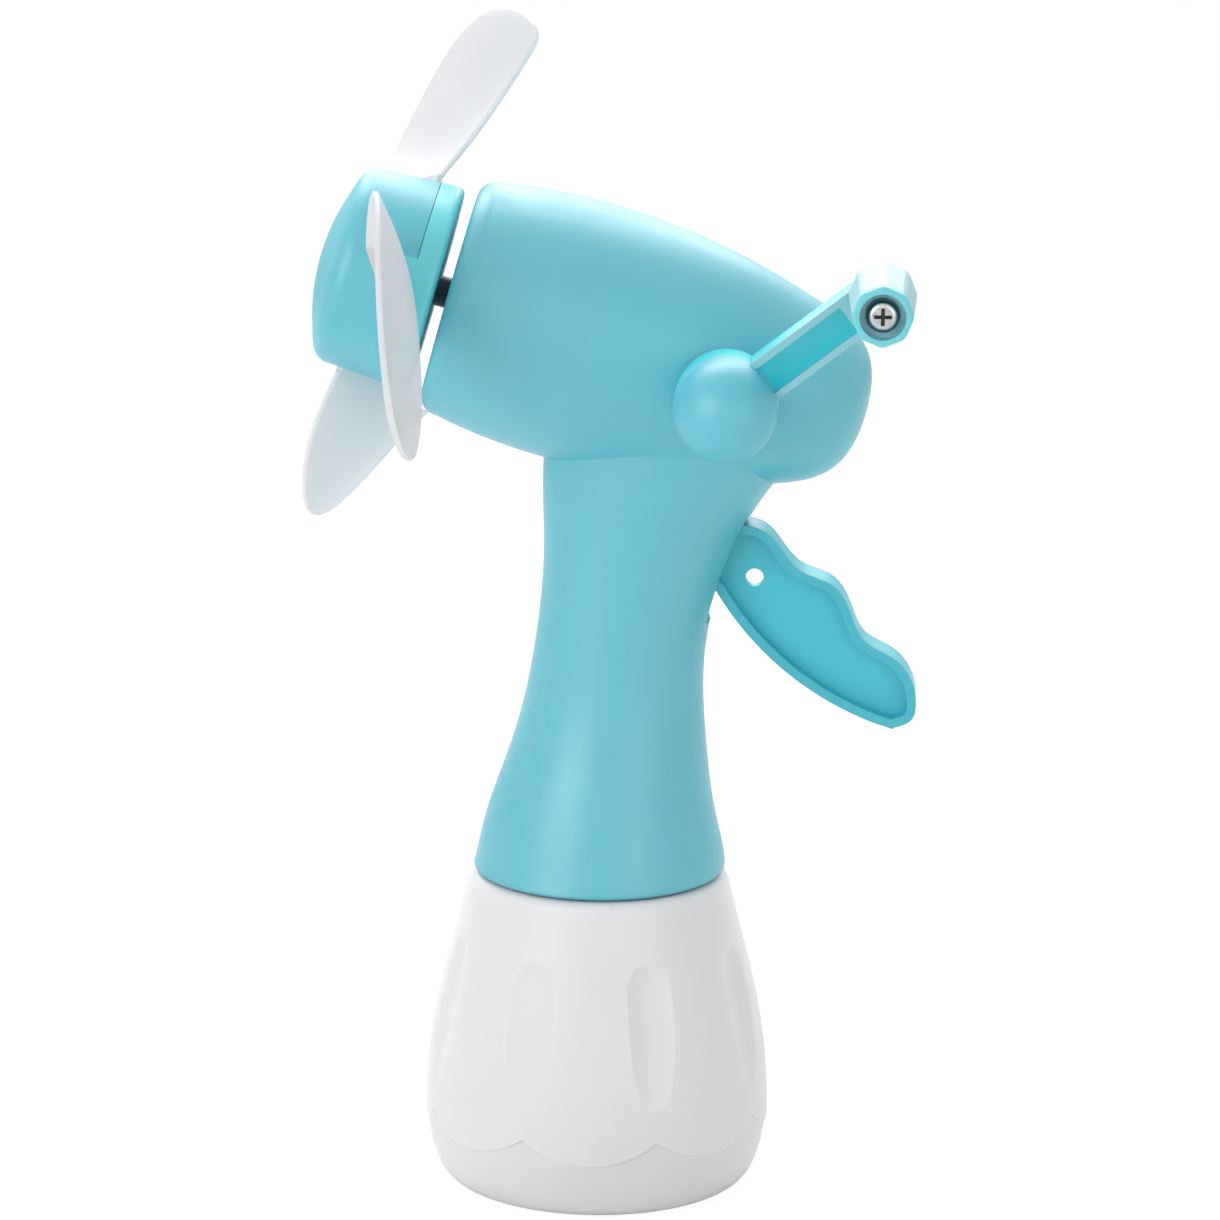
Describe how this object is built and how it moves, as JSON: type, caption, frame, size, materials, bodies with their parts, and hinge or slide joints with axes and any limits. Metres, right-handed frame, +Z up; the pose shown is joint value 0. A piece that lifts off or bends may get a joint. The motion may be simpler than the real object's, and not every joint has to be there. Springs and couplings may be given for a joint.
{
  "type": "hand crank misting fan",
  "caption": "Hand-cranked misting fan: an egg-shaped head with a geared propeller and side crank on a flared handle with a finger pump, over a screw-on water bottle.",
  "frame": {"origin": "centre of the bottle's flat base, on the surface it stands on", "axes": "+Z up through the bottle and handle, -Y the way the fan blows, +Y the trigger side, +X the crank side"},
  "size_m": [0.1152, 0.1372, 0.2623],
  "materials": {
    "body_turquoise": "satin",
    "bottle_clear_grey": "satin",
    "blade_white": "satin",
    "hub_turquoise": "satin",
    "trigger_teal": "satin",
    "crank_teal": "satin",
    "grip_pale": "satin",
    "steel": "ground",
    "screw_zinc": "plated",
    "acetal": "moulded",
    "pump_clear": "moulded",
    "dark_plastic": "moulded",
    "rubber": "moulded",
    "tube_clear": "extruded"
  },
  "bodies": {
    "handle": {"shell_crank_side": "body_turquoise", "shell_far_side": "body_turquoise", "shell_screws": "screw_zinc", "front_bush": "acetal", "rear_bush": "acetal", "crank_bush": "acetal", "neck_collar": "body_turquoise", "dip_tube": "tube_clear", "dip_strainer": "acetal", "inlet_spigot": "acetal", "inlet_ball": "steel", "outlet_ball": "steel", "pump_body": "pump_clear", "pump_gland": "acetal", "pump_spring": "steel", "spray_elbow": "pump_clear", "mist_tube": "steel", "nozzle_tip": "dark_plastic", "trigger_pin": "steel"},
    "crank": {"crank_shaft": "steel", "crown_gear": "acetal", "crank_arm": "crank_teal", "crank_screw": "screw_zinc", "crank_cap": "body_turquoise", "grip_screw": "screw_zinc", "grip_washer": "dark_plastic"},
    "grip": {"crank_grip": "grip_pale"},
    "fan": {"fan_spindle": "dark_plastic", "spindle_pinion": "acetal", "hub_base": "hub_turquoise", "hub_cap": "hub_turquoise", "blade_1": "blade_white", "blade_2": "blade_white", "blade_3": "blade_white"},
    "trigger": {"trigger": "trigger_teal"},
    "piston": {"pump_piston": "acetal", "piston_seal": "rubber"},
    "washer": {"neck_washer": "rubber"},
    "bottle": {"bottle": "bottle_clear_grey"}
  },
  "joints": [
    {"name": "crank_turn", "type": "hinge", "parent": "handle", "child": "crank", "pos_m": [0, 0.0277, 0.18476], "axis": [1, 0, 0], "continuous": true},
    {"name": "fan_spin", "type": "hinge", "parent": "handle", "child": "fan", "pos_m": [0, -0.03405, 0.20159], "axis": [0, 0.9648, -0.263], "continuous": true},
    {"name": "grip_spin", "type": "hinge", "parent": "crank", "child": "grip", "pos_m": [0.05, 0.06079, 0.21061], "axis": [1, 0, 0], "continuous": true},
    {"name": "trigger_pull", "type": "hinge", "parent": "handle", "child": "trigger", "pos_m": [0, 0.022, 0.146], "axis": [-1, 0, 0], "range_deg": [0, 18], "stiffness_Nm_per_rad": 0.06, "springref_deg": -14.32},
    {"name": "piston_lift", "type": "slide", "parent": "handle", "child": "piston", "axis": [0, 0, 1], "range_m": [0, 0.0051], "deforming": ["pump_spring"]},
    {"name": "bottle_drop", "type": "slide", "parent": "handle", "child": "washer", "axis": [0, 0, -1], "range_m": [0, 0.005]},
    {"name": "bottle_turn", "type": "hinge", "parent": "washer", "child": "bottle", "pos_m": [0, 0, 0.07], "axis": [0, 0, -1], "range_deg": [0, 450]}
  ],
  "couplings": [
    {"joint": "fan_spin", "follows": "crank_turn", "ratio": 4},
    {"joint": "piston_lift", "follows": "trigger_pull", "m_per_rad": 0.0162},
    {"joint": "bottle_drop", "follows": "bottle_turn", "m_per_rad": 0.00063662}
  ]
}
